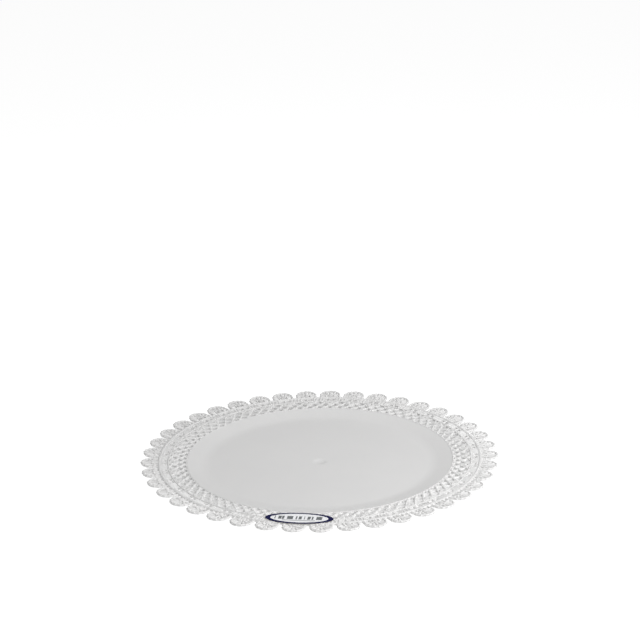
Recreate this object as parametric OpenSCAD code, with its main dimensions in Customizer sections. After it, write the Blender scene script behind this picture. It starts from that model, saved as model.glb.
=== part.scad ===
// Round serving plate with a moulded lace rim and an oval sticker.
// It stands on z = 0 and its axis is Z. A scallop is centred on -Y, where the sticker is near.
// The plate is one moulding; its zones are drawn as closed solids that meet face to face.

/* [Overall] */
// Diameter over the scallop tips
plate_d = 300; // [250:5:370]
// Number of scallops round the edge
scallops = 41; // [37:2:47]

/* [Well] */
// Thickness of the floor and of the wall
floor_t = 1.8; // [1.2:0.1:2.6]
// Height of the well's mouth above the floor
well_depth = 3.7; // [2:0.1:8]
// Radial run of the sloping wall
wall_run = 15.5; // [10:0.5:24]
// Diameter of the shallow moulding mark in the middle of the floor
gate_mark_d = 12; // [6:1:20]
// Depth of the moulding mark
gate_mark_depth = 0.8; // [0.2:0.1:1]
// Diameter of the gate stub under the floor
gate_stub_d = 3.2; // [2:0.2:6]
// Length of the gate stub, less than the foot ring's height
gate_stub_h = 0.8; // [0.4:0.1:1]

/* [Foot ring] */
// Height of the foot ring
foot_h = 2; // [1.4:0.1:5]
// Width of the foot ring's flat underside
foot_w = 1.6; // [1:0.1:4]
// Extra width of the foot ring on each side where it joins the floor
foot_draft = 0.4; // [0:0.1:1]
// Gap from the floor's edge in to the foot ring's root
foot_inset = 2.5; // [0:0.5:10]

/* [Lace rings, from the well outwards] */
// Thickness of the lace
lace_t = 1.8; // [1.2:0.1:2.6]
// Rise of the lace from the well's mouth to the scallop tips
lace_rise = 2.4; // [1:0.1:6]
// How far the plain cords stand above the openwork
cord_proud = 0.4; // [0.1:0.1:0.8]
// Rounding of the cords' upper edges
cord_round = 0.3; // [0.1:0.05:0.4]
// Width of the bead round the well's mouth
inner_bead_w = 1.2; // [1:0.1:3]
// Width of the diamond lattice
lattice_w = 14.2; // [10:0.2:20]
// Width of the thin cord outside the lattice
middle_cord_w = 1; // [0.9:0.1:3]
// Width of the band of eyelets
eyelet_band_w = 5.6; // [4:0.1:9]
// Width of the broad plain cord inside the scallops
outer_cord_w = 2.7; // [1.5:0.1:5]
// Length of a scallop from the broad cord to its tip
scallop_len = 14.3; // [11:0.1:17.5]

/* [Openwork] */
// Rows of diamonds in the lattice
lattice_rows = 3; // [2:1:4]
// Width of a lattice strand
strand_w = 2.2; // [1.4:0.1:2.8]
// Size of the open diamond under each notch, against a plain one
notch_diamond = 1.2; // [0.8:0.05:1.25]
// Size of the diamond under each scallop's middle in that row, against a plain one
tip_diamond = 0.4; // [0.35:0.05:1]
// Length of an eyelet
eyelet_l = 9; // [5:0.2:12]
// Width of an eyelet
eyelet_w = 3; // [1.5:0.1:3.6]
// Width of the bar across the middle of an eyelet
eyelet_bar_w = 2; // [1:0.1:2.6]

/* [Scallops] */
// Smallest gap between neighbouring scallops
scallop_gap = 2.3; // [0.1:0.1:3]
// Width of the border cord
border_w = 1.9; // [1.2:0.1:2.6]
// Picots along one scallop's border
picots = 9; // [5:2:11]
// Angle between neighbouring picots
picot_step = 25; // [15:1:28]
// Diameter of a picot
picot_d = 2.6; // [1.6:0.1:3.2]
// How far a picot stands out of the border cord
picot_out = 0.5; // [0.2:0.1:1]
// Ribs in a scallop's fan
fan_ribs = 7; // [5:2:9]
// Angle between neighbouring ribs
fan_step = 26; // [18:1:30]
// Width of a rib
fan_rib_w = 2.8; // [1.6:0.1:3.2]
// Distance from the broad cord to the middle of the fan
fan_lift = 2; // [1.5:0.1:3]
// Radius of the fan's hub
fan_hub_r = 3.9; // [3.8:0.1:5]
// Length of each of the two slots in the hub, along the plate's radius
hub_slot_l = 4.6; // [3:0.1:5]
// Width of a hub slot
hub_slot_w = 1.8; // [1:0.1:2]
// Distance between the middles of the two hub slots
hub_slot_apart = 4.6; // [3.2:0.1:4.6]

/* [Sticker] */
// Length of the sticker
label_l = 54; // [30:1:70]
// Width of the sticker
label_w = 23; // [12:1:26]
// Distance from the scallop tips in to the sticker's middle
label_from_edge = 25; // [20:0.5:30]
// Turn of the sticker round the plate, clockwise from the front seen from above
label_turn = 7.8; // [-180:0.1:180]
// Thickness of the printed film
label_face_t = 0.15; // [0.1:0.05:0.3]
// Thickness of the adhesive
label_adhesive_t = 0.1; // [0.05:0.05:0.2]

/* [Hidden] */
$fn = 96;
tip_r = plate_d / 2;

// Distances out along the lace's slope, measured from the well's mouth
s_lattice = inner_bead_w;
s_middle = s_lattice + lattice_w;
s_eyelets = s_middle + middle_cord_w;
s_outer = s_eyelets + eyelet_band_w;
s_scallop = s_outer + outer_cord_w;
s_tip = s_scallop + scallop_len;

lace_slope = asin(lace_rise / s_tip);
mouth_r = tip_r - s_tip * cos(lace_slope);
floor_r = mouth_r - wall_run;
floor_z = foot_h + floor_t;         // height of the floor's top
mouth_z = floor_z + well_depth;

// A point on the lace's top surface: its radius, at a distance out along the slope
function r_at(s) = mouth_r + s * cos(lace_slope);

// Foot ring, from the floor's edge inwards
foot_root_r = floor_r - foot_inset;
foot_out_r = foot_root_r - foot_draft;
foot_in_r = foot_out_r - foot_w;

// The moulding mark is a shallow piece of a sphere
gate_ball_r = (pow(gate_mark_d / 2, 2) + pow(gate_mark_depth, 2)) / (2 * gate_mark_depth);

// Scallops are flat arches on the slope, a small gap apart: a round end on straight legs
scallop_step = 360 / scallops;
half_step = scallop_step / 2;
scallop_r = (tip_r * sin(half_step) - scallop_gap / 2) / (1 + sin(half_step) * cos(lace_slope));
border_out_r = scallop_r - picot_out;
border_in_r = border_out_r - border_w;
picot_mid_r = scallop_r - picot_d / 2;
s_scallop_mid = s_tip - scallop_r;
s_fan_mid = s_scallop + fan_lift;

// Lattice: one row's diamonds are staggered by half a step against the next row's.
// Row -1 lies mostly under the bead and shows only its outer corners.
row_step = lattice_w / lattice_rows;
function row_s(row) = s_lattice + (row + 0.5) * row_step;

label_mid_r = tip_r - label_from_edge;
prism_z = mouth_z - 2 * lace_t;     // vertical prisms start below the lace
prism_h = lace_rise + 4 * lace_t;   // and end above it

plastic = [0.94, 0.94, 0.93];
film = [0.96, 0.96, 0.97];
navy = [0.16, 0.18, 0.30];

// Puts a flat profile on the lace's slope: X runs outwards from the mouth, Y is above the surface
module on_slope() {
    translate([mouth_r, mouth_z]) rotate(lace_slope) children();
}

// Profile of the openwork between two distances from the mouth
module band_profile(from, to) {
    on_slope() translate([from, -lace_t]) square([to - from, lace_t]);
}

// Profile of a plain cord: it stands above the openwork and its upper edges are round
module cord_profile(from, width) {
    shoulder = lace_t + cord_proud - cord_round;
    on_slope() translate([from, -lace_t]) {
        square([width, shoulder]);
        translate([cord_round, 0]) square([width - 2 * cord_round, lace_t + cord_proud]);
        for (x = [cord_round, width - cord_round])
            translate([x, shoulder]) circle(cord_round);
    }
}

// A slot with round ends, as long as its length, lying along Y
module slot(length, width) {
    straight = length - width;
    translate([-width / 2, -straight / 2]) square([width, straight]);
    for (side = [-1, 1]) translate([0, side * straight / 2]) circle(d = width);
}

// Repeats something at every scallop, starting at the front; +X points outwards
module at_scallops(offset = 0) {
    for (i = [0 : scallops - 1]) rotate(i * scallop_step + offset - 90) children();
}

module prism() {
    translate([0, 0, prism_z]) linear_extrude(prism_h) children();
}

// A diamond hole of one lattice row, at its full size less half a strand all round
module diamond(row, size = 1) {
    half_w = r_at(row_s(row)) * sin(half_step / 2);
    half_h = row_step;
    inset = 1 - strand_w / 2 * norm([half_w, half_h]) / (half_w * half_h);
    scale_by = inset * size;
    translate([r_at(row_s(row)), 0])
        polygon([[half_h, 0], [0, half_w], [-half_h, 0], [0, -half_w]] * scale_by);
}

// A flat piece of lace on the slope at every scallop, cut off where it meets the broad cord.
// Its outline has X running outwards from the mouth.
module scallop_plates() {
    at_scallops() difference() {
        translate([mouth_r, 0, mouth_z]) rotate([0, -lace_slope, 0])
            translate([0, 0, -lace_t]) linear_extrude(lace_t) children();
        rotate([0, 0, -half_step]) rotate_extrude(angle = scallop_step) on_slope()
            translate([s_scallop - 2 * scallop_r, -2 * lace_t]) square([2 * scallop_r, 3 * lace_t]);
    }
}

module well_floor() {
    color(plastic) {
        difference() {
            translate([0, 0, foot_h]) cylinder(h = floor_t, r = floor_r);
            translate([0, 0, floor_z - gate_mark_depth + gate_ball_r]) sphere(gate_ball_r);
        }
        translate([0, 0, foot_h - gate_stub_h]) cylinder(h = gate_stub_h, d = gate_stub_d);
    }
}

module well_wall() {
    mouth_under = [mouth_r + lace_t * sin(lace_slope), mouth_z - lace_t * cos(lace_slope)];
    color(plastic) rotate_extrude()
        polygon([[floor_r, foot_h], mouth_under, [mouth_r, mouth_z], [floor_r, floor_z]]);
}

module foot_ring() {
    color(plastic) rotate_extrude() polygon([
        [foot_in_r, 0], [foot_out_r, 0],
        [foot_root_r, foot_h], [foot_in_r - foot_draft, foot_h]
    ]);
}

module mouth_bead() {
    color(plastic) rotate_extrude() cord_profile(0, inner_bead_w);
}

module middle_cord() {
    color(plastic) rotate_extrude() cord_profile(s_middle, middle_cord_w);
}

module outer_cord() {
    color(plastic) rotate_extrude() cord_profile(s_outer, outer_cord_w);
}

module lattice_band() {
    last_row = lattice_rows - 1;
    color(plastic) difference() {
        rotate_extrude() band_profile(s_lattice, s_middle);
        for (row = [-1 : last_row]) {
            stagger = (last_row - row) % 2 * half_step / 2;
            at_scallops(stagger) prism() diamond(row, row == last_row ? tip_diamond : 1);
            at_scallops(stagger + half_step) prism() diamond(row, row == last_row ? notch_diamond : 1);
        }
    }
}

module eyelet_band() {
    color(plastic) difference() {
        rotate_extrude() band_profile(s_eyelets, s_outer);
        at_scallops() prism() translate([r_at(s_eyelets + eyelet_band_w / 2), 0]) difference() {
            slot(eyelet_l, eyelet_w);
            square([2 * eyelet_w, eyelet_bar_w], center = true);
        }
    }
}

// A scallop's arch of some radius. Its legs run in to the broad cord's inner edge.
module arch(radius) {
    circle(radius);
    translate([s_outer - s_scallop_mid, -radius]) square([s_scallop_mid - s_outer, 2 * radius]);
}

module fan_outline() {
    difference() {
        intersection() {
            translate([s_scallop_mid, 0]) arch(border_in_r);
            translate([s_fan_mid, 0]) {
                circle(fan_hub_r);
                for (i = [0 : fan_ribs - 1])
                    rotate((i - (fan_ribs - 1) / 2) * fan_step)
                        translate([0, -fan_rib_w / 2]) square([2 * scallop_r, fan_rib_w]);
            }
        }
        for (side = [-1, 1])
            translate([s_fan_mid, side * hub_slot_apart / 2]) rotate(90) slot(hub_slot_l, hub_slot_w);
    }
}

module border_outline() {
    translate([s_scallop_mid, 0]) difference() {
        union() {
            arch(border_out_r);
            for (i = [0 : picots - 1])
                rotate((i - (picots - 1) / 2) * picot_step) translate([picot_mid_r, 0]) circle(d = picot_d);
        }
        arch(border_in_r);
    }
}

module scallop_fans() {
    color(plastic) scallop_plates() fan_outline();
}

module scallop_borders() {
    color(plastic) scallop_plates() border_outline();
}

// One layer of the sticker, lying on the plain cords at a height above their tops
module label_layer(height, thickness) {
    rotate(-90 - label_turn) intersection() {
        rotate([0, 0, -label_l / 2]) rotate_extrude(angle = label_l) on_slope()
            translate([s_lattice, cord_proud + height]) square([s_tip - s_lattice, thickness]);
        prism() translate([label_mid_r, 0]) scale([label_w / label_l, 1]) circle(d = label_l);
    }
}

module label_adhesive() {
    color(film) label_layer(0, label_adhesive_t);
}

module label_face() {
    color(navy) label_layer(label_adhesive_t, label_face_t);
}

well_floor();
well_wall();
foot_ring();
mouth_bead();
lattice_band();
middle_cord();
eyelet_band();
outer_cord();
scallop_fans();
scallop_borders();
label_adhesive();
label_face();
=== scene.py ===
from contextlib import contextmanager
from math import atan2, cos, hypot, pi, radians, sin, sqrt, tan

import bmesh
import bpy
from mathutils import Matrix, Vector


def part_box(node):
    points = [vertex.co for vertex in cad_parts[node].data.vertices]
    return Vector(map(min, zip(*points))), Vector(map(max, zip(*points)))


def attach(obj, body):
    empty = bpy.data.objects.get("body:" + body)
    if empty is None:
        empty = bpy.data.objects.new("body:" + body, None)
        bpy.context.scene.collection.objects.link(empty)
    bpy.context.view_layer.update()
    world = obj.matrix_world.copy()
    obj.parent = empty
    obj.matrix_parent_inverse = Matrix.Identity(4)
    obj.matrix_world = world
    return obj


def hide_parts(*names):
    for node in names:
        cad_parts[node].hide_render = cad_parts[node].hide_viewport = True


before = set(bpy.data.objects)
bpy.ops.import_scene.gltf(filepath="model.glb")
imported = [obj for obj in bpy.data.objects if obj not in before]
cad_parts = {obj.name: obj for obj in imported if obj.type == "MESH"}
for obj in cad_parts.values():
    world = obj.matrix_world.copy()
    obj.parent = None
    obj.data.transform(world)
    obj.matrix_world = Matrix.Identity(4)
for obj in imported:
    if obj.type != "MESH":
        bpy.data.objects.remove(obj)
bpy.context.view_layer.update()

MM = 0.001
SCALLOPS = 41
STEP = 2 * pi / SCALLOPS            # angle from one scallop to the next
ROUND = 8 * SCALLOPS                # segments of a ring that goes right round
NEAR = 0.01 * MM                    # slack when points are chosen by their place
WELD = 0.002 * MM                   # points closer than this become one


# ---------------------------------------------------------------- sizes from the frame

def outside(node):
    """Outer radius of a round zone, measured at its lower edge."""
    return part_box(node)[1].x


def top(node):
    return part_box(node)[1].z


front_edge = -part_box("scallop_borders")[0].y
tip_z, mouth_z = top("scallop_borders"), top("well_wall")
floor_r, floor_z, floor_under_z = outside("well_floor"), top("well_floor"), top("foot_ring")
stub_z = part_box("well_floor")[0].z

# The lace rises evenly from the well's mouth to the scallop tips
slope = atan2(tip_z - mouth_z, front_edge - outside("well_wall"))
eyelet_low, eyelet_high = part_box("eyelet_band")
eyelet_run = outside("eyelet_band") - outside("middle_cord")
lace_t = (eyelet_high.z - eyelet_low.z - eyelet_run * tan(slope)) / cos(slope)
mouth_r = outside("well_wall") - lace_t * sin(slope)
tip_r = front_edge - lace_t * sin(slope)


def reach(node):
    """How far a zone's outer edge is from the well's mouth, out along the slope."""
    return (outside(node) - lace_t * sin(slope) - mouth_r) / cos(slope)


s_lattice, s_middle, s_eyelets = reach("mouth_bead"), reach("lattice_band"), reach("middle_cord")
s_outer, s_scallop = reach("eyelet_band"), reach("outer_cord")
s_tip = (tip_r - mouth_r) / cos(slope)
# How high the cords' crowns stand over the lace
cord_proud = (top("outer_cord") - mouth_z - s_scallop * sin(slope)) / cos(slope)

# A scallop is an arch, a small gap away from its neighbours
SCALLOP_GAP = 2.3 * MM
scallop_r = (tip_r * sin(STEP / 2) - SCALLOP_GAP / 2) / (1 + sin(STEP / 2) * cos(slope))
s_scallop_mid = s_tip - scallop_r
s_fan = s_scallop + 2 * MM          # the fan's ribs spread from here


# ---------------------------------------------------------------- modelling helpers

def alone(piece):
    """Makes this the only selected object, and the active one."""
    bpy.ops.object.select_all(action="DESELECT")
    piece.select_set(True)
    bpy.context.view_layer.objects.active = piece


def settle(piece):
    """Puts an object's place, turn and size into its mesh."""
    alone(piece)
    bpy.ops.object.transform_apply(location=True, rotation=True, scale=True)
    return piece


def added(name):
    """The primitive that was just added, named and settled."""
    piece = bpy.context.active_object
    piece.name = piece.data.name = name
    return settle(piece)


@contextmanager
def editing(piece, kind="VERT"):
    """Opens a piece in edit mode with all of it selected, and closes it afterwards."""
    alone(piece)
    bpy.ops.object.mode_set(mode="EDIT")
    bpy.ops.mesh.select_mode(type=kind)
    bpy.ops.mesh.select_all(action="SELECT")
    yield
    bpy.ops.object.mode_set(mode="OBJECT")


def choose(piece, kind, wanted):
    """In edit mode, selects the verts, edges or faces that pass a test, and nothing else."""
    bpy.ops.mesh.select_all(action="DESELECT")
    mesh = bmesh.from_edit_mesh(piece.data)
    for item in getattr(mesh, kind):
        if wanted(item):
            item.select_set(True)
    mesh.select_flush_mode()
    bmesh.update_edit_mesh(piece.data)


def extrude(step):
    bpy.ops.mesh.extrude_region_move(TRANSFORM_OT_translate={"value": tuple(step)})


def resize(size, centre):
    bpy.ops.transform.resize(value=tuple(size), center_override=tuple(centre))


def close_up(piece, sharp=50):
    """Welds seams, turns every face outwards and shades the piece smooth up to an angle."""
    with editing(piece):
        bpy.ops.mesh.remove_doubles(threshold=WELD)
        bpy.ops.mesh.select_all(action="SELECT")
        bpy.ops.mesh.normals_make_consistent(inside=False)
    alone(piece)
    bpy.ops.object.shade_smooth_by_angle(angle=radians(sharp))
    return piece


def join(name, pieces):
    alone(pieces[0])
    for piece in pieces:
        piece.select_set(True)
    bpy.ops.object.join()
    pieces[0].name = pieces[0].data.name = name
    return pieces[0]


def apply_modifier(piece, kind, **settings):
    modifier = piece.modifiers.new(kind.title(), kind)
    for setting, value in settings.items():
        setattr(modifier, setting, value)
    alone(piece)
    bpy.ops.object.modifier_apply(modifier=modifier.name)


def seat(piece):
    """Lays a piece of lace on the slope. Before, X is out from the mouth and z = 0 the lace's top."""
    piece.location = (mouth_r, 0, mouth_z)
    piece.rotation_euler = (0, -slope, 0)
    return settle(piece)


def all_round(piece, count):
    """Repeats a piece evenly round the plate, the first one to the front."""
    bpy.ops.object.empty_add(rotation=(0, 0, 2 * pi / count))
    turn = bpy.context.active_object
    apply_modifier(piece, "ARRAY", count=count, use_relative_offset=False,
                   use_object_offset=True, offset_object=turn)
    bpy.data.objects.remove(turn)
    piece.rotation_euler = (0, 0, -pi / 2)
    return settle(piece)


def cord_section(name, at, heading, width, crown, sides=12, filled=False):
    """A cord's cross-section, facing along its heading: flat below, upright sides and a round top.
    It reaches from the lace's underside to its crown, the height of its top over the lace."""
    half = width / 2
    lowest_shoulder = -0.75 * lace_t
    shoulder = max(crown - half, lowest_shoulder)
    middle = (at[0], at[1], shoulder)
    bpy.ops.object.select_all(action="DESELECT")
    bpy.ops.mesh.primitive_circle_add(
        vertices=sides, radius=half, fill_type="NGON" if filled else "NOTHING",
        location=middle, rotation=(pi / 2, 0, heading + pi / 2))
    piece = added(name)
    with editing(piece):
        choose(piece, "verts", lambda v: v.co.z > shoulder + NEAR)
        resize((1, 1, (crown - shoulder) / half), middle)
        choose(piece, "verts", lambda v: v.co.z < shoulder - NEAR)
        resize((1, 1, 0), middle)
        bpy.ops.transform.translate(value=(0, 0, -lace_t - shoulder))
    return piece


def ring(name, start, width, crown, sides=12):
    """A plain cord right round the plate, from a distance out along the slope."""
    piece = seat(cord_section(name, (start + width / 2, 0), pi / 2, width, crown, sides))
    with editing(piece):
        bpy.ops.mesh.spin(steps=ROUND, angle=2 * pi, center=(0, 0, 0), axis=(0, 0, 1))
    return close_up(piece)


def strand(name, start, end, width, crown, sizes, sides=10):
    """A straight cord on the lace. sizes lists (distance along it, share of its full section)."""
    start, end = Vector((*start, 0)), Vector((*end, 0))
    along = (end - start).normalized()
    piece = cord_section(name, start, atan2(along.y, along.x), width, crown, sides, filled=True)
    with editing(piece):
        reached, present = 0, 1
        for distance, size in sizes:
            if distance > reached:
                extrude(along * (distance - reached))
            foot = start + along * distance + Vector((0, 0, -lace_t))
            resize([size / present] * 3, foot)
            reached, present = distance, size
    return piece


def oval_loop(name, at, length, width, sides=24):
    """A loop with round ends, lying across the plate's radius: a circle pulled apart."""
    bpy.ops.object.select_all(action="DESELECT")
    bpy.ops.mesh.primitive_circle_add(vertices=sides, radius=width / 2, location=(*at, 0),
                                      rotation=(0, 0, pi / sides))
    piece = added(name)
    with editing(piece):
        for side in (1, -1):
            choose(piece, "verts", lambda v: side * (v.co.y - at[1]) > 0)
            bpy.ops.transform.translate(value=(0, side * (length - width) / 2, 0))
    return piece


def pierced(name, outer, inner, crown, rounding):
    """A flat piece between two loops, down to the lace's underside, with its upper edges rounded."""
    piece = join(name, [outer, inner])
    with editing(piece, "EDGE"):
        bpy.ops.mesh.bridge_edge_loops()
        bpy.ops.mesh.select_all(action="SELECT")
        bpy.ops.transform.translate(value=(0, 0, crown))
        extrude((0, 0, -lace_t - crown))
        bpy.ops.mesh.select_all(action="SELECT")
        bpy.ops.mesh.normals_make_consistent(inside=False)
        choose(piece, "edges", lambda e: min(v.co.z for v in e.verts) > crown - NEAR
               and len(e.link_faces) == 2 and e.calc_face_angle() > radians(60))
        bpy.ops.mesh.bevel(offset=rounding, segments=3, affect="EDGES", clamp_overlap=True)
    return piece


# ---------------------------------------------------------------- well

MARK_R, MARK_DEEP = 6 * MM, 0.8 * MM      # the moulding mark, a hollow like the inside of a ball
MARK_EDGE = 1.2 * MM                      # how far its edge is rounded
STUB_R = 1.6 * MM                         # the gate stub, under the mark
WALL_BEND = 4.5 * MM                      # how far the bend from the floor to the wall is rounded


def well_dish():
    """The floor and the wall in one smooth sweep, with the moulding mark and the gate stub."""
    ball = (MARK_R ** 2 + MARK_DEEP ** 2) / (2 * MARK_DEEP)
    outline = [(0, floor_z - MARK_DEEP)]
    mark_steps = 6
    for step in range(1, mark_steps + 1):
        r = MARK_R * step / mark_steps
        outline.append((r, floor_z - MARK_DEEP + ball - sqrt(ball ** 2 - r ** 2)))
    outline += [
        (floor_r, floor_z), (mouth_r, mouth_z),
        (mouth_r + lace_t * sin(slope), mouth_z - lace_t * cos(slope)), (floor_r, floor_under_z),
        (STUB_R, floor_under_z), (STUB_R, stub_z), (0, stub_z)]
    bpy.ops.object.select_all(action="DESELECT")
    bpy.ops.mesh.primitive_plane_add(size=1 * MM, location=(0, 0, outline[0][1]))
    piece = added("well_dish")
    with editing(piece):
        # The outline is drawn out of a single point, then spun round the axis
        bpy.ops.mesh.merge(type="CENTER")
        drawn = outline[0]
        for point in outline[1:]:
            extrude((point[0] - drawn[0], 0, point[1] - drawn[1]))
            drawn = point
        for radius, height, rounding in ((MARK_R, floor_z, MARK_EDGE), (floor_r, floor_z, WALL_BEND),
                                         (floor_r, floor_under_z, WALL_BEND)):
            choose(piece, "verts", lambda v: hypot(v.co.x - radius, v.co.z - height) < NEAR)
            bpy.ops.mesh.bevel(offset=rounding, segments=6, affect="VERTICES")
        bpy.ops.mesh.select_all(action="SELECT")
        bpy.ops.mesh.spin(steps=ROUND, angle=2 * pi, center=(0, 0, 0), axis=(0, 0, 1))
    return close_up(piece, 35)


# ---------------------------------------------------------------- lattice

ROWS = 3
STRAND_W, STRAND_PROUD = 2.2 * MM, 0.15 * MM
STRAND_LAP = 0.4 * MM                     # how far a strand runs on into the cords beside the band
# A strand swells at a knot: millimetres from the knot's middle, and share of the strand's size
KNOT = ((-1.9, 0.98), (-1.1, 1.1), (0, 1.2), (1.1, 1.1), (1.9, 0.96))
KNOT_LOSS = 0.06                          # by how much a knot is smaller than the one inside it
LOZENGE_R, LOZENGE_HOLE_R = 3.9 * MM, 1.2 * MM
LOZENGE_SIDE = 0.78                       # how far the middles of its sides are drawn in
row_step = (s_middle - s_lattice) / ROWS


def row_s(row):
    """How far a row of knots is from the well's mouth, out along the slope."""
    return s_lattice + (row + 0.5) * row_step


def lattice():
    """Two sets of slanting cords that cross in three rows of knots."""
    def on_strand(s, hand):
        turn = hand * (s - row_s(1)) / row_step * STEP / 4
        r = mouth_r + s * cos(slope)
        return r * cos(turn) - mouth_r, r * sin(turn)

    made = []
    for hand in (1, -1):
        start = on_strand(s_lattice - STRAND_LAP, hand)
        end = on_strand(s_middle + STRAND_LAP, hand)
        length = hypot(end[0] - start[0], end[1] - start[1])
        run = length / (s_middle - s_lattice + 2 * STRAND_LAP)
        sizes = [(0, 1)]
        for row in range(ROWS):
            knot = (row_s(row) - s_lattice + STRAND_LAP) * run
            for along, size in KNOT:
                sizes.append((knot + along * MM, size * (1 - KNOT_LOSS * row)))
        sizes.append((length, 0.95))
        made.append(strand("strand", start, end, STRAND_W, STRAND_PROUD, sizes))
    strands = all_round(seat(join("lattice", made)), 2 * SCALLOPS)

    # Under the middle of each scallop the outermost diamond is nearly closed
    at = (row_s(ROWS - 1), 0)
    loops = []
    for radius in (LOZENGE_R, LOZENGE_HOLE_R):
        bpy.ops.object.select_all(action="DESELECT")
        bpy.ops.mesh.primitive_circle_add(vertices=8, radius=radius, location=(*at, 0))
        loops.append(added("lozenge"))
    for loop in loops:
        with editing(loop):
            choose(loop, "verts", lambda v: min(abs(v.co.x - at[0]), abs(v.co.y)) > NEAR)
            resize((LOZENGE_SIDE, LOZENGE_SIDE, 1), (*at, 0))
    lozenge = pierced("lozenge", *loops, 0.1 * MM, 0.5 * MM)
    lozenges = all_round(seat(lozenge), SCALLOPS)
    return close_up(join("lattice", [strands, lozenges]))


# ---------------------------------------------------------------- eyelets

EYELET_L, EYELET_W = 9 * MM, 3 * MM
BAR_W = 2 * MM                            # the bar across the middle of an eyelet
KNUCKLE_W, KNUCKLE_PROUD = 2 * MM, 0.25 * MM
KNUCKLES = (-4, -1.6, 1.6, 4)             # their places between two eyelets, in millimetres
BAND_LAP, BAND_SUNK = 0.25 * MM, 0.3 * MM


def pitch(s):
    """Straight distance from one scallop to the next, this far out along the slope."""
    return 2 * (mouth_r + s * cos(slope)) * sin(STEP / 2)


def eyelets():
    """A band with a long barred eyelet under the middle of each scallop, and knuckles between them."""
    width, middle = s_outer - s_eyelets + 2 * BAND_LAP, (s_outer + s_eyelets) / 2
    bpy.ops.object.select_all(action="DESELECT")
    bpy.ops.mesh.primitive_plane_add(size=width, location=(middle, 0, 0))
    sector = added("sector")
    with editing(sector, "EDGE"):
        bpy.ops.mesh.delete(type="ONLY_FACE")
        bpy.ops.mesh.select_all(action="SELECT")
        bpy.ops.mesh.subdivide(number_cuts=5)
        for side in (1, -1):
            choose(sector, "verts", lambda v: side * (v.co.x - middle) > NEAR)
            resize((1, pitch(middle + side * width / 2) / width, 1), (middle, 0, 0))
        choose(sector, "verts", lambda v: abs(v.co.x - middle) < NEAR)
        resize((1, pitch(middle) / width, 1), (middle, 0, 0))
    hole = oval_loop("oval", (middle, 0), EYELET_L, EYELET_W)
    made = [pierced("eyelets", sector, hole, -BAND_SUNK, 0.35 * MM)]

    bar_short = 1 * MM
    bar_l = width - 2 * bar_short
    made.append(strand("bar", (middle - bar_l / 2, 0), (middle + bar_l / 2, 0), BAR_W, 0,
                       [(0, 1), (bar_l, 1)], 8))

    knuckle_lap, spread = 0.2 * MM, 1.03
    for place in KNUCKLES:
        start = (s_eyelets - knuckle_lap, pitch(middle) / 2 + place * MM)
        end = (s_outer + knuckle_lap, pitch(middle) / 2 + place * MM * spread)
        span = end[0] - start[0]
        made.append(strand("knuckle", start, end, KNUCKLE_W, KNUCKLE_PROUD,
                           [(0, 0.9), (span / 3, 1), (2 * span / 3, 1), (span, 0.9)], 8))
    return close_up(all_round(seat(join("eyelets", made)), SCALLOPS))


# ---------------------------------------------------------------- scallops

BORDER_W = 1.9 * MM
BORDER_LAP = 0.6 * MM                     # how far a border's legs run on into the broad cord
PICOT_D, PICOT_HALF = 2.6 * MM, 0.9 * MM  # a picot's width, and half its height
PICOT_OUT = 0.5 * MM                      # how far the picots stand out of the border's cord
PICOT_TURN = radians(25)
border_r = scallop_r - PICOT_OUT - BORDER_W / 2


def borders():
    """Each scallop's cord, bent round its edge on straight legs, with nine small beads along it."""
    leg_end = s_scallop - BORDER_LAP
    leg = s_scallop_mid - leg_end
    cord = cord_section("border", (leg_end, -border_r), 0, BORDER_W, 0, 10, filled=True)
    with editing(cord):
        extrude((leg, 0, 0))
        # With no window a spin turns the other way, so half a turn back goes round the tip
        bpy.ops.mesh.spin(steps=32, angle=-pi, center=(s_scallop_mid, 0, 0), axis=(0, 0, 1))
        extrude((-leg, 0, 0))
    made = [cord]
    reach_out = scallop_r - PICOT_D / 2
    for picot in range(-4, 5):
        turn = PICOT_TURN * picot
        at = (s_scallop_mid + reach_out * cos(turn), reach_out * sin(turn), -PICOT_HALF)
        bpy.ops.object.select_all(action="DESELECT")
        bpy.ops.mesh.primitive_uv_sphere_add(segments=10, ring_count=6, radius=PICOT_D / 2,
                                             location=at)
        bead = added("picot")
        with editing(bead):
            resize((1, 1, PICOT_HALF / (PICOT_D / 2)), at)
        made.append(bead)
    return close_up(all_round(seat(join("borders", made)), SCALLOPS))


# A hub is two discs side by side with a slot in each, all drawn out along the fan's axis
HUB_D, SLOT_D = 3.6 * MM, 1.8 * MM
HUB_OFF, HUB_DRAWN = 2.3 * MM, 1.4 * MM
RIB_W, RIB_SUNK = 2.8 * MM, 0.2 * MM
RIB_TURN, RIB_START = radians(26), 3 * MM


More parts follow.
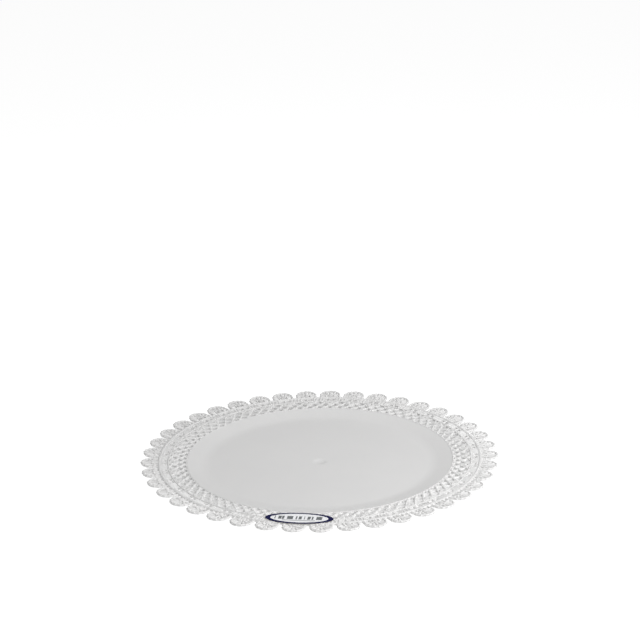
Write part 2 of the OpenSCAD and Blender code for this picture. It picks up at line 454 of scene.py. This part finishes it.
def fans():
    """Inside each scallop, a hub with two slots, and seven ribs that spread out to the border."""
    made = []
    for side in (1, -1):
        disc = oval_loop("hub", (s_fan, side * HUB_OFF), HUB_D, HUB_D)
        slot = oval_loop("slot", (s_fan, side * HUB_OFF), SLOT_D, SLOT_D)
        for loop in (disc, slot):
            with editing(loop):
                for end in (1, -1):
                    choose(loop, "verts", lambda v: end * (v.co.x - s_fan) > 0)
                    bpy.ops.transform.translate(value=(end * HUB_DRAWN, 0, 0))
        made.append(pierced("hub", disc, slot, 0, 0.5 * MM))

    bar_start, bar_end = s_scallop - 0.5 * MM, s_fan + 4 * MM
    made.append(strand("hub_bar", (bar_start, 0), (bar_end, 0), 1.6 * MM, 0.05 * MM,
                       [(0, 1), (3 * MM, 1.05), (bar_end - bar_start, 1)], 8))

    border_inside = border_r - BORDER_W / 2
    rib_end_r = border_inside + 0.3 * MM
    off = s_scallop_mid - s_fan
    for rib in range(-3, 4):
        turn = RIB_TURN * rib
        length = off * cos(turn) + sqrt(rib_end_r ** 2 - (off * sin(turn)) ** 2)
        start = (s_fan + RIB_START * cos(turn), RIB_START * sin(turn))
        end = (s_fan + length * cos(turn), length * sin(turn))
        span = length - RIB_START
        made.append(strand("rib", start, end, RIB_W, -RIB_SUNK,
                           [(0, 0.85), (span / 3, 0.92), (2 * span / 3, 1), (span, 1.05)], 8))
    return close_up(all_round(seat(join("fans", made)), SCALLOPS))


# ---------------------------------------------------------------- finishes

class Value:
    """A shader value that joins in sums like a number."""

    def __init__(self, finish, socket):
        self.finish, self.socket = finish, socket

    def maths(self, operation, *others):
        return self.finish.node("Math", {"operation": operation},
                                dict(enumerate((self, *others))))

    def __add__(self, other):
        return self.maths("ADD", other)

    def __sub__(self, other):
        return self.maths("SUBTRACT", other)

    def __mul__(self, other):
        return self.maths("MULTIPLY", other)

    def __truediv__(self, other):
        return self.maths("DIVIDE", other)

    def __pow__(self, other):
        return self.maths("POWER", other)

    def __lt__(self, other):
        return self.maths("LESS_THAN", other)

    def __gt__(self, other):
        return self.maths("GREATER_THAN", other)

    def __abs__(self):
        return self.maths("ABSOLUTE")

    def __rsub__(self, other):
        return self.finish.node("Math", {"operation": "SUBTRACT"}, {0: other, 1: self})

    __radd__, __rmul__ = __add__, __mul__


class Finish:
    """One material. node() makes any node and gives back its output, if it has one."""

    def __init__(self, name):
        self.material = bpy.data.materials.new(name)
        self.material.use_nodes = True
        self.tree = self.material.node_tree
        self.tree.nodes.clear()

    def node(self, kind, settings=None, inputs=None, output=0):
        made = self.tree.nodes.new("ShaderNode" + kind)
        for name, setting in (settings or {}).items():
            setattr(made, name, setting)
        for name, value in (inputs or {}).items():
            if isinstance(value, Value):
                self.tree.links.new(value.socket, made.inputs[name])
            else:
                made.inputs[name].default_value = value
        return Value(self, made.outputs[output]) if made.outputs else None

    def place(self):
        """The point's own place on the plate: its Object coordinates."""
        return self.node("TexCoord", output=3)

    def split(self, vector):
        parts = self.node("SeparateXYZ", inputs={0: vector})
        return [Value(self, socket) for socket in parts.socket.node.outputs]

    def noise(self, size, detail=2, place=None):
        """Soft noise between 0 and 1, with lumps of about this size."""
        return self.node("TexNoise", inputs={
            "Vector": place or self.place(), "Scale": 1 / size, "Detail": detail, "Roughness": 0.55})

    def blend(self, amount, first, second):
        return self.node("Mix", {"data_type": "RGBA"}, {0: amount, 6: first, 7: second}, 2)

    def bump(self, height, distance, strength=1, under=None):
        inputs = {"Height": height, "Distance": distance, "Strength": strength}
        if under:
            inputs["Normal"] = under
        return self.node("Bump", inputs=inputs)

    def gloss(self, **sockets):
        """The surface itself. Sockets are named with _ for a space."""
        inputs = {name.replace("_", " "): value for name, value in sockets.items()}
        self.node("OutputMaterial", inputs={"Surface": self.node("BsdfPrincipled", inputs=inputs)})
        return self.material


def grey(level, warm=0.0):
    return (level, level * (1 - warm / 2), level * (1 - warm), 1)


def moulded(name, level, rough, thread=None):
    """White moulded plastic: faint flow marks, a slightly uneven gloss and a fine skin."""
    finish = Finish(name)
    flow = finish.noise(38 * MM, 3)
    speck = finish.noise(1.6 * MM, 2)
    colour = finish.blend(flow, grey(level * 0.975, 0.004), grey(level * 1.02, 0.012))
    scuffs = finish.noise(7 * MM, 4)
    skin = finish.bump(speck, 0.03 * MM, 0.5)
    normal = finish.bump(thread(finish), 0.06 * MM, 0.5, skin) if thread else skin
    return finish.gloss(Base_Color=colour, Roughness=rough - 0.05 + scuffs * 0.1, Normal=normal,
                        IOR=1.5, Specular_IOR_Level=0.5)


def polar(finish):
    """Distance from the plate's axis, and the angle round it."""
    x, y, _ = finish.split(finish.place())
    return (x * x + y * y) ** 0.5, y.maths("ARCTAN2", x)


def wound_thread(finish):
    """Fine ridges across a cord that runs round the plate, leaning a little as a twist does."""
    ridges, lean = 24 * SCALLOPS, 4 * MM
    radius, turn = polar(finish)
    return (turn * ridges + radius * (2 * pi / lean)).maths("SINE")


def crochet_thread(finish):
    """Fine ridges at both slants, as the thread of each stitch leaves."""
    ridges, apart = 10 * SCALLOPS, 1.3 * MM
    radius, turn = polar(finish)
    lean = turn * ridges
    rise = radius * (2 * pi / apart)
    return (rise + lean).maths("SINE") * 0.5 + (rise - lean).maths("SINE") * 0.5


WHITE = 0.78
NAVY_DARK, NAVY_LIGHT = (0.002, 0.003, 0.045, 1), (0.005, 0.007, 0.075, 1)
PAPER_DARK, PAPER_LIGHT = (0.88, 0.89, 0.91, 1), (0.94, 0.95, 0.97, 1)
MARKS = (0.03, 0.04, 0.045, 1)


def sticker_print():
    """A white oval with a navy edge, thick at both ends, and rows of plain marks.
    Its places and sizes are in millimetres from its middle, along and across it."""
    field_l, field_w, bluntness = 23.0, 9.2, 1.9
    low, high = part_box("label_face")
    middle = (low + high) / 2
    finish = Finish("sticker_print")
    turned = finish.node("Mapping", {"vector_type": "TEXTURE"}, {
        "Vector": finish.place(), "Location": (middle.x, middle.y, 0),
        "Rotation": (0, 0, atan2(middle.y, middle.x) + pi / 2)})
    along, across, _ = finish.split(turned)
    along, across = along * (1 / MM), across * (1 / MM)
    edge = (abs(along) / field_l) ** bluntness + (abs(across) / field_w) ** bluntness > 1
    worn = finish.noise(2.5 * MM, 3)
    navy = finish.blend(worn, NAVY_DARK, NAVY_LIGHT)
    paper = finish.blend(worn, PAPER_DARK, PAPER_LIGHT)
    # Two waves that beat against each other break the upper row into uneven blocks
    blocks = (along * 1.9).maths("SINE") + (along * 0.83 + 1.2).maths("SINE")
    row = (abs(across - 0.6) < 3.3) * (abs(along + 1.0) < 19) * (blocks > -0.1)
    rule = (abs(across + 4.8) < 0.8) * (abs(along) < 13)
    marks = (row * 0.85 + rule * 0.5).maths("MINIMUM", 1)
    printed = finish.blend(marks, paper, MARKS)
    return finish.gloss(Base_Color=finish.blend(edge, printed, navy),
                        Roughness=0.4 + worn * 0.12, IOR=1.48, Specular_IOR_Level=0.15,
                        Normal=finish.bump(finish.noise(4 * MM), 0.05 * MM, 0.4))


def sticker_adhesive():
    finish = Finish("sticker_adhesive")
    cloud = finish.noise(3 * MM)
    return finish.gloss(Base_Color=finish.blend(cloud, (0.78, 0.76, 0.70, 1), (0.85, 0.84, 0.79, 1)),
                        Roughness=0.5 + cloud * 0.2, Normal=finish.bump(cloud, 0.03 * MM, 0.5))


def repaint(node, material):
    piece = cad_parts[node]
    piece.data.materials.clear()
    piece.data.materials.append(material)


# ---------------------------------------------------------------- the plate

cord_finish = moulded("cord_plastic", WHITE * 1.03, 0.36, wound_thread)
lace_finish = moulded("lace_plastic", WHITE * 1.03, 0.38, crochet_thread)
well_finish = moulded("well_plastic", WHITE, 0.34)

parts = [
    (well_dish(), well_finish, "floor_plastic", ["well_floor", "well_wall"]),
    (ring("mouth_cord", 0, s_lattice, 0.2 * MM), cord_finish, "cord_plastic", ["mouth_bead"]),
    (lattice(), lace_finish, "lace_plastic", ["lattice_band"]),
    (ring("thin_cord", s_middle - 0.1 * MM, s_eyelets - s_middle + 0.3 * MM, cord_proud - 0.15 * MM),
     cord_finish, "cord_plastic", ["middle_cord"]),
    (eyelets(), lace_finish, "lace_plastic", ["eyelet_band"]),
    (ring("broad_cord", s_outer, s_scallop - s_outer, cord_proud - 0.12 * MM, 16),
     cord_finish, "cord_plastic", ["outer_cord"]),
    (fans(), lace_finish, "lace_plastic", ["scallop_fans"]),
    (borders(), cord_finish, "lace_plastic", ["scallop_borders"]),
]
for piece, finish, slot, nodes in parts:
    piece.data.materials.clear()
    piece.data.materials.append(finish)
    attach(piece, "root")
    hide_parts(*nodes)

repaint("foot_ring", moulded("foot_plastic", WHITE, 0.45))
repaint("label_face", sticker_print())
repaint("label_adhesive", sticker_adhesive())


# ---------------------------------------------------------------- floor, light and camera

def table_top():
    """A table that glows a soft white, with painted shade: a light grey round patch behind and under
    the plate stands in for the plate's shadow, so that the holes in the lace show."""
    # The painted shadow patch is centred this far behind the plate's middle
    painted_shade_back = 21 * MM
    painted_shade_r, white_r = 0.87 * tip_r, 0.94 * tip_r
    bpy.ops.object.select_all(action="DESELECT")
    bpy.ops.mesh.primitive_plane_add(size=14, location=(0, 2, -0.05 * MM))
    table = added("table_top")
    finish = Finish("table_white_painted_shade")
    x, y, _ = finish.split(finish.place())
    y = y - painted_shade_back
    white = finish.node("MapRange", {"interpolation_type": "SMOOTHSTEP"}, {
        "Value": (x * x + y * y) ** 0.5, "From Min": painted_shade_r, "From Max": white_r})
    # Painted shade: inside the patch the table's glow drops from 0.88 to 0.34, so it reads as the
    # plate's shadow
    table.data.materials.append(finish.gloss(
        Base_Color=finish.blend(white, grey(0.5), grey(0.3)), Roughness=0.9,
        Specular_IOR_Level=0.1, Emission_Color=finish.blend(white, grey(0.34), grey(0.88)),
        Emission_Strength=1))


def daylight(strength):
    world = bpy.data.worlds.new("daylight")
    bpy.context.scene.world = world
    world.use_nodes = True
    world.node_tree.nodes["Background"].inputs["Color"].default_value = (1, 1, 1, 1)
    world.node_tree.nodes["Background"].inputs["Strength"].default_value = strength


def soft_light(name, place, aim, size, power):
    bpy.ops.object.light_add(type="AREA", location=place)
    light = bpy.context.active_object
    light.name = name
    light.data.shape = "DISK"
    light.data.size = size
    light.data.energy = power
    light.rotation_euler = (Vector(aim) - Vector(place)).to_track_quat("-Z", "Y").to_euler()


def camera():
    """A long lens, 23 degrees above the table, aimed well above the plate."""
    rise, tilt_up, aside, roll = map(radians, (22.976, 3.680, 0.099, 1.239))
    distance = 11.838 * tip_r
    look_z = 9 * MM
    dip = rise - tilt_up
    forward = Vector((sin(aside) * cos(dip), cos(aside) * cos(dip), -sin(dip)))
    across = forward.cross(Vector((0, 0, 1))).normalized()
    upward = across.cross(forward)
    right = across * cos(roll) - upward * sin(roll)
    up = across * sin(roll) + upward * cos(roll)
    bpy.ops.object.camera_add()
    eye = bpy.context.active_object
    turned = Matrix((right, up, -forward)).transposed().to_4x4()
    stand = Vector((0, 0, look_z)) + Vector((0, -cos(rise), sin(rise))) * distance
    eye.matrix_world = Matrix.Translation(stand) @ turned
    eye.data.lens = 118.8
    eye.data.sensor_width = 36
    eye.data.clip_start = 0.01
    bpy.context.scene.camera = eye


table_top()
daylight(0.25)
soft_light("overhead", (-0.1, 0.1, 1.3), (0, 0, 0), 1.4, 4.4)
soft_light("window", (0.62, -0.40, 0.72), (0, 0, 0), 0.55, 7.2)
camera()
bpy.context.scene.view_settings.view_transform = "Standard"
